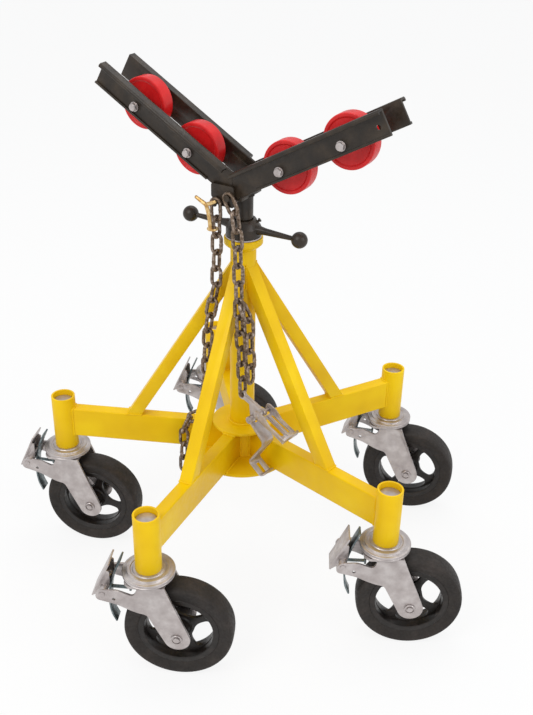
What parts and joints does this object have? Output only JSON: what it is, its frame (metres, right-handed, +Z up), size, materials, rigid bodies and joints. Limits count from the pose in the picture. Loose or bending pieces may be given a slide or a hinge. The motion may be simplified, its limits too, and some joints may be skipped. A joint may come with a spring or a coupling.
{
  "type": "pipe jack stand",
  "caption": "Rolling stand with a screw jack and a V-shaped roller head that carries a pipe while it is turned and welded.",
  "frame": {"origin": "on the floor, under the middle of the stand's outline; the column axis stands at X -1.7 mm, Y -13.7 mm", "axes": "+Z up along the column, +X and +Y across the floor; the head's arms lie in an upright plane turned 30.1 degrees clockwise from +X"},
  "size_m": [0.9558, 0.8066, 1.0162],
  "materials": {
    "yellow_paint": "gloss paint",
    "black_finish": "semi-gloss paint",
    "zinc_plate": "satin zinc plate",
    "wheel_rubber": "matte moulded tread",
    "red_roller": "smooth",
    "chain_steel": "dark, slightly rusty",
    "yellow_zinc": "yellow zinc plate"
  },
  "bodies": {
    "frame": {"column_tube": "yellow_paint", "column_collar": "yellow_paint", "hub": "yellow_paint", "thrust_washer": "zinc_plate", "leg_left": "yellow_paint", "leg_front_left": "yellow_paint", "leg_front_right": "yellow_paint", "leg_back_right": "yellow_paint", "leg_back": "yellow_paint", "brace_left": "yellow_paint", "brace_front_left": "yellow_paint", "brace_front_right": "yellow_paint", "brace_back_right": "yellow_paint", "brace_back": "yellow_paint", "caster_left_mount": "zinc_plate", "caster_front_left_mount": "zinc_plate", "caster_front_right_mount": "zinc_plate", "caster_back_right_mount": "zinc_plate", "caster_back_mount": "zinc_plate"},
    "head": {"jack_post": "black_finish", "head_saddle": "black_finish", "rail_right_front": "black_finish", "rail_right_rear": "black_finish", "rail_left_front": "black_finish", "rail_left_rear": "black_finish", "roller_bolt_right_inner": "zinc_plate", "roller_bolt_right_outer": "zinc_plate", "roller_bolt_left_inner": "zinc_plate", "roller_bolt_left_outer": "zinc_plate", "left_chain": "chain_steel", "right_chain": "chain_steel", "tensioner_body": "zinc_plate"},
    "jack_nut": {"jack_nut": "black_finish"},
    "swivel_left": {"caster_left_yoke": "zinc_plate", "caster_left_axle": "zinc_plate"},
    "wheel_left": {"caster_left_wheel": "wheel_rubber"},
    "pedal_left": {"caster_left_pedal": "zinc_plate"},
    "swivel_front_left": {"caster_front_left_yoke": "zinc_plate", "caster_front_left_axle": "zinc_plate"},
    "wheel_front_left": {"caster_front_left_wheel": "wheel_rubber"},
    "pedal_front_left": {"caster_front_left_pedal": "zinc_plate"},
    "swivel_front_right": {"caster_front_right_yoke": "zinc_plate", "caster_front_right_axle": "zinc_plate"},
    "wheel_front_right": {"caster_front_right_wheel": "wheel_rubber"},
    "pedal_front_right": {"caster_front_right_pedal": "zinc_plate"},
    "swivel_back_right": {"caster_back_right_yoke": "zinc_plate", "caster_back_right_axle": "zinc_plate"},
    "wheel_back_right": {"caster_back_right_wheel": "wheel_rubber"},
    "pedal_back_right": {"caster_back_right_pedal": "zinc_plate"},
    "swivel_back": {"caster_back_yoke": "zinc_plate", "caster_back_axle": "zinc_plate"},
    "wheel_back": {"caster_back_wheel": "wheel_rubber"},
    "pedal_back": {"caster_back_pedal": "zinc_plate"},
    "roller_right_inner": {"roller_right_inner": "red_roller"},
    "roller_right_outer": {"roller_right_outer": "red_roller"},
    "roller_left_inner": {"roller_left_inner": "red_roller"},
    "roller_left_outer": {"roller_left_outer": "red_roller"},
    "tensioner_lever": {"tensioner_lever": "zinc_plate"},
    "tensioner_strap": {"tensioner_strap": "zinc_plate"},
    "grab_hook": {"grab_hook": "yellow_zinc"}
  },
  "joints": [
    {"name": "nut_turn", "type": "hinge", "parent": "frame", "child": "jack_nut", "pos_m": [-0.0017, -0.0137, 0.741], "axis": [0, 0, 1], "range_deg": [0, 15120], "deforming": ["left_chain", "right_chain"]},
    {"name": "head_lift", "type": "slide", "parent": "frame", "child": "head", "axis": [0, 0, 1], "range_m": [0, 0.2668]},
    {"name": "swivel_turn_left", "type": "hinge", "parent": "frame", "child": "swivel_left", "pos_m": [-0.3729, 0.02859, 0.2192], "axis": [0, 0, 1], "continuous": true},
    {"name": "wheel_roll_left", "type": "hinge", "parent": "swivel_left", "child": "wheel_left", "pos_m": [-0.32028, 0.01894, 0.1016], "axis": [0.1805, 0.9836, 0], "continuous": true},
    {"name": "brake_press_left", "type": "hinge", "parent": "swivel_left", "child": "pedal_left", "pos_m": [-0.44962, 0.04267, 0.196], "axis": [-0.1805, -0.9836, 0], "range_deg": [0, 6]},
    {"name": "swivel_turn_front_left", "type": "hinge", "parent": "frame", "child": "swivel_front_left", "pos_m": [-0.15663, -0.35366, 0.2192], "axis": [0, 0, 1], "continuous": true},
    {"name": "wheel_roll_front_left", "type": "hinge", "parent": "swivel_front_left", "child": "wheel_front_left", "pos_m": [-0.10334, -0.35842, 0.1016], "axis": [0.0889, 0.996, 0], "continuous": true},
    {"name": "brake_press_front_left", "type": "hinge", "parent": "swivel_front_left", "child": "pedal_front_left", "pos_m": [-0.23432, -0.34673, 0.196], "axis": [-0.0889, -0.996, 0], "range_deg": [0, 6]},
    {"name": "swivel_turn_front_right", "type": "hinge", "parent": "frame", "child": "swivel_front_right", "pos_m": [0.27375, -0.2661, 0.2192], "axis": [0, 0, 1], "continuous": true},
    {"name": "wheel_roll_front_right", "type": "hinge", "parent": "swivel_front_right", "child": "wheel_front_right", "pos_m": [0.32722, -0.26778, 0.1016], "axis": [0.0314, 0.9995, 0], "continuous": true},
    {"name": "brake_press_front_right", "type": "hinge", "parent": "swivel_front_right", "child": "pedal_front_right", "pos_m": [0.19578, -0.26365, 0.196], "axis": [-0.0314, -0.9995, 0], "range_deg": [0, 6]},
    {"name": "swivel_turn_back_right", "type": "hinge", "parent": "frame", "child": "swivel_back_right", "pos_m": [0.32347, 0.17027, 0.2192], "axis": [0, 0, 1], "continuous": true},
    {"name": "wheel_roll_back_right", "type": "hinge", "parent": "swivel_back_right", "child": "wheel_back_right", "pos_m": [0.37561, 0.15833, 0.1016], "axis": [0.2233, 0.9748, 0], "continuous": true},
    {"name": "brake_press_back_right", "type": "hinge", "parent": "swivel_back_right", "child": "pedal_back_right", "pos_m": [0.24743, 0.18768, 0.196], "axis": [-0.2233, -0.9748, 0], "range_deg": [0, 6]},
    {"name": "swivel_turn_back", "type": "hinge", "parent": "frame", "child": "swivel_back", "pos_m": [-0.07618, 0.3524, 0.2192], "axis": [0, 0, 1], "continuous": true},
    {"name": "wheel_roll_back", "type": "hinge", "parent": "swivel_back", "child": "wheel_back", "pos_m": [-0.0232, 0.34495, 0.1016], "axis": [0.1392, 0.9903, 0], "continuous": true},
    {"name": "brake_press_back", "type": "hinge", "parent": "swivel_back", "child": "pedal_back", "pos_m": [-0.15343, 0.36325, 0.196], "axis": [-0.1392, -0.9903, 0], "range_deg": [0, 6]},
    {"name": "roll_right_inner", "type": "hinge", "parent": "head", "child": "roller_right_inner", "pos_m": [0.07924, -0.06062, 0.88126], "axis": [0.5015, 0.8652, 0], "continuous": true},
    {"name": "roll_right_outer", "type": "hinge", "parent": "head", "child": "roller_right_outer", "pos_m": [0.17731, -0.11747, 0.94592], "axis": [0.5015, 0.8652, 0], "continuous": true},
    {"name": "roll_left_inner", "type": "hinge", "parent": "head", "child": "roller_left_inner", "pos_m": [-0.08264, 0.03322, 0.88126], "axis": [-0.5015, -0.8652, 0], "continuous": true},
    {"name": "roll_left_outer", "type": "hinge", "parent": "head", "child": "roller_left_outer", "pos_m": [-0.18071, 0.09007, 0.94592], "axis": [-0.5015, -0.8652, 0], "continuous": true},
    {"name": "lever_open", "type": "hinge", "parent": "head", "child": "tensioner_lever", "pos_m": [0.04099, -0.12043, 0.41662], "axis": [-0.6428, -0.766, 0], "range_deg": [0, 60]},
    {"name": "strap_swing", "type": "hinge", "parent": "head", "child": "tensioner_strap", "pos_m": [0.02345, -0.10571, 0.39442], "axis": [0.6428, 0.766, 0], "range_deg": [-25, 18]},
    {"name": "hook_fall", "type": "hinge", "parent": "head", "child": "grab_hook", "pos_m": [-0.05119, -0.04699, 0.75987], "axis": [0.8652, -0.5015, 0], "range_deg": [0, 25]}
  ],
  "couplings": [
    {"joint": "head_lift", "follows": "nut_turn", "m_per_rad": 0.0010106}
  ]
}
